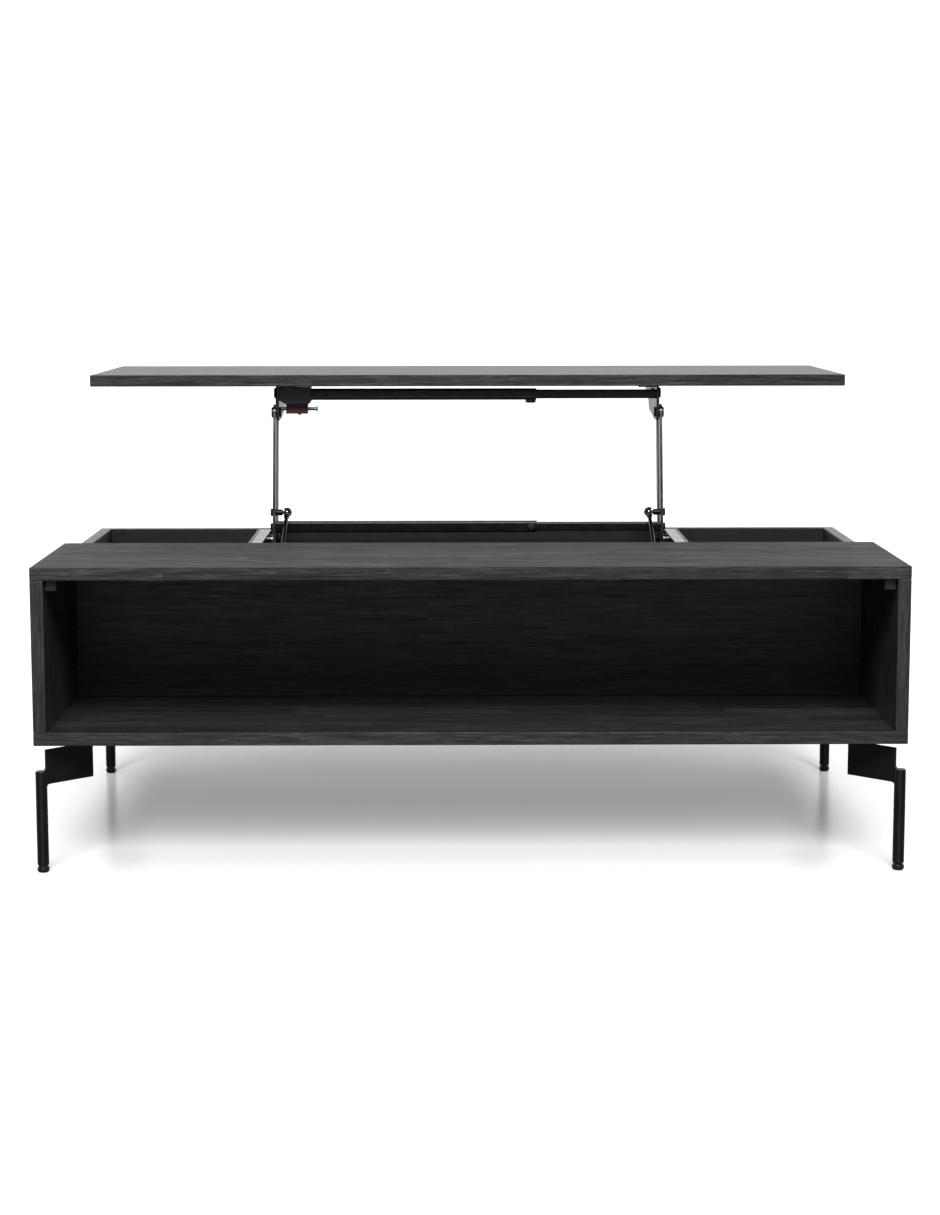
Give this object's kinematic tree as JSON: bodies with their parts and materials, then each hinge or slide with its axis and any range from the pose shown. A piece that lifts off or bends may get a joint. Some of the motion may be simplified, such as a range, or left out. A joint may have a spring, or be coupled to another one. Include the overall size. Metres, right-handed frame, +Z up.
{
  "type": "lift top coffee table",
  "caption": "Low rectangular table with an open front niche; the rear part of its top lifts and slides back level on paired arms with gas struts, over three storage bays.",
  "frame": {"origin": "on the floor, midway between the niche-side edge and the far edge of the raised top, and midway along the length", "axes": "+X along the length, +Y from the open niche towards the side where the top lifts, +Z up"},
  "size_m": [1.2, 0.992, 0.6594],
  "materials": {
    "charcoal_wood": "charcoal-stained solid wood under a satin lacquer",
    "black_steel": "satin black powder coat on steel",
    "zinc_steel": "zinc-plated steel",
    "dark_rod": "ground and black-nitrided piston rod",
    "black_plastic": "moulded nylon",
    "red_plastic": "moulded nylon, dark red",
    "grey_rubber": "soft clear pads"
  },
  "bodies": {
    "carcass": {"fixed_top": "charcoal_wood", "bottom_board": "charcoal_wood", "side_panel_left": "charcoal_wood", "side_panel_right": "charcoal_wood", "niche_back_panel": "charcoal_wood", "rear_panel": "charcoal_wood", "divider_left": "charcoal_wood", "divider_right": "charcoal_wood", "corner_blocks": "black_plastic", "corner_block_screws": "zinc_steel", "panel_screws": "zinc_steel", "bumper_pads": "grey_rubber", "leg_front_left": "black_steel", "leg_front_right": "black_steel", "leg_rear_left": "black_steel", "leg_rear_right": "black_steel", "leg_screws": "zinc_steel", "leg_inserts": "zinc_steel", "base_bracket_left": "black_steel", "base_bracket_right": "black_steel", "base_bracket_screws": "zinc_steel", "lower_pivot_bolts": "black_steel", "lower_pivot_bushes": "zinc_steel", "strut_anchor_studs": "zinc_steel"},
    "front_arms": {"front_arm_left": "black_steel", "front_arm_right": "black_steel", "lower_cross_tube_outer": "black_steel", "lower_cross_tube_inner": "black_steel", "lower_tube_bolts": "black_steel", "arm_ball_studs": "black_steel"},
    "rear_arms": {"rear_arm_left": "black_steel", "rear_arm_right": "black_steel"},
    "lifting_top": {"lift_top": "charcoal_wood", "top_bracket_left": "black_steel", "top_bracket_right": "black_steel", "upper_cross_tube_outer": "black_steel", "upper_cross_tube_inner": "black_steel", "upper_tube_bolts": "black_steel", "top_bracket_screws": "zinc_steel", "upper_pivot_bolts": "black_steel", "upper_pivot_nuts": "black_steel", "lock_carrier": "black_steel", "lock_housing": "red_plastic", "lock_spring": "zinc_steel"},
    "pull_pin": {"lock_pin": "zinc_steel"},
    "upper_clamp": {"upper_cross_clamp_screw": "black_plastic"},
    "lower_clamp": {"lower_cross_clamp_screw": "black_plastic"},
    "strut_rods": {"strut_rod_left": "dark_rod", "strut_rod_right": "dark_rod", "strut_upper_sockets": "black_plastic", "socket_clips": "zinc_steel"},
    "strut_cylinders": {"strut_cylinder_left": "black_steel", "strut_cylinder_right": "black_steel", "strut_lower_sockets": "black_plastic"},
    "front_left_foot": {"foot_front_left": "black_plastic"},
    "front_right_foot": {"foot_front_right": "black_plastic"},
    "rear_left_foot": {"foot_rear_left": "black_plastic"},
    "rear_right_foot": {"foot_rear_right": "black_plastic"}
  },
  "joints": [
    {"name": "front_arm_swing", "type": "hinge", "parent": "carcass", "child": "front_arms", "pos_m": [0, 0.099, 0.3637], "axis": [1, 0, 0], "range_deg": [0, 102.6]},
    {"name": "rear_arm_swing", "type": "hinge", "parent": "carcass", "child": "rear_arms", "pos_m": [0, 0.159, 0.3917], "axis": [1, 0, 0], "range_deg": [-0.3, 102.9]},
    {"name": "lift_top_level", "type": "hinge", "parent": "front_arms", "child": "lifting_top", "pos_m": [0, 0.151, 0.598], "axis": [1, 0, 0], "range_deg": [-102.9, 0.3]},
    {"name": "strut_swing", "type": "hinge", "parent": "front_arms", "child": "strut_rods", "pos_m": [0, 0.1159, 0.43985], "axis": [1, 0, 0], "range_deg": [-114.47, 0.4]},
    {"name": "strut_stroke", "type": "slide", "parent": "strut_rods", "child": "strut_cylinders", "axis": [0, 0.926, 0.3776], "range_m": [-0.0005, 0.11366]},
    {"name": "lock_pin_pull", "type": "slide", "parent": "lifting_top", "child": "pull_pin", "axis": [1, 0, 0], "range_m": [0, 0.007], "stiffness_N_per_m": 500, "springref_m": -0.006, "deforming": ["lock_spring"]},
    {"name": "upper_clamp_turn", "type": "hinge", "parent": "lifting_top", "child": "upper_clamp", "pos_m": [0.101, 0.151, 0.627], "axis": [0, 0, 1], "range_deg": [0, 360]},
    {"name": "lower_clamp_turn", "type": "hinge", "parent": "front_arms", "child": "lower_clamp", "pos_m": [0.101, 0.11092, 0.4174], "axis": [0, 1, 0], "range_deg": [0, 360]},
    {"name": "front_left_foot_screw", "type": "slide", "parent": "carcass", "child": "front_left_foot", "axis": [0, 0, -1], "range_m": [0, 0.008]},
    {"name": "front_right_foot_screw", "type": "slide", "parent": "carcass", "child": "front_right_foot", "axis": [0, 0, -1], "range_m": [0, 0.008]},
    {"name": "rear_left_foot_screw", "type": "slide", "parent": "carcass", "child": "rear_left_foot", "axis": [0, 0, -1], "range_m": [0, 0.008]},
    {"name": "rear_right_foot_screw", "type": "slide", "parent": "carcass", "child": "rear_right_foot", "axis": [0, 0, -1], "range_m": [0, 0.008]}
  ],
  "couplings": [
    {"joint": "rear_arm_swing", "follows": "front_arm_swing", "ratio": 1},
    {"joint": "lift_top_level", "follows": "front_arm_swing", "ratio": -1},
    {"joint": "strut_swing", "follows": "front_arm_swing", "ratio": -1.1118},
    {"joint": "strut_stroke", "follows": "front_arm_swing", "m_per_rad": 0.06319}
  ]
}
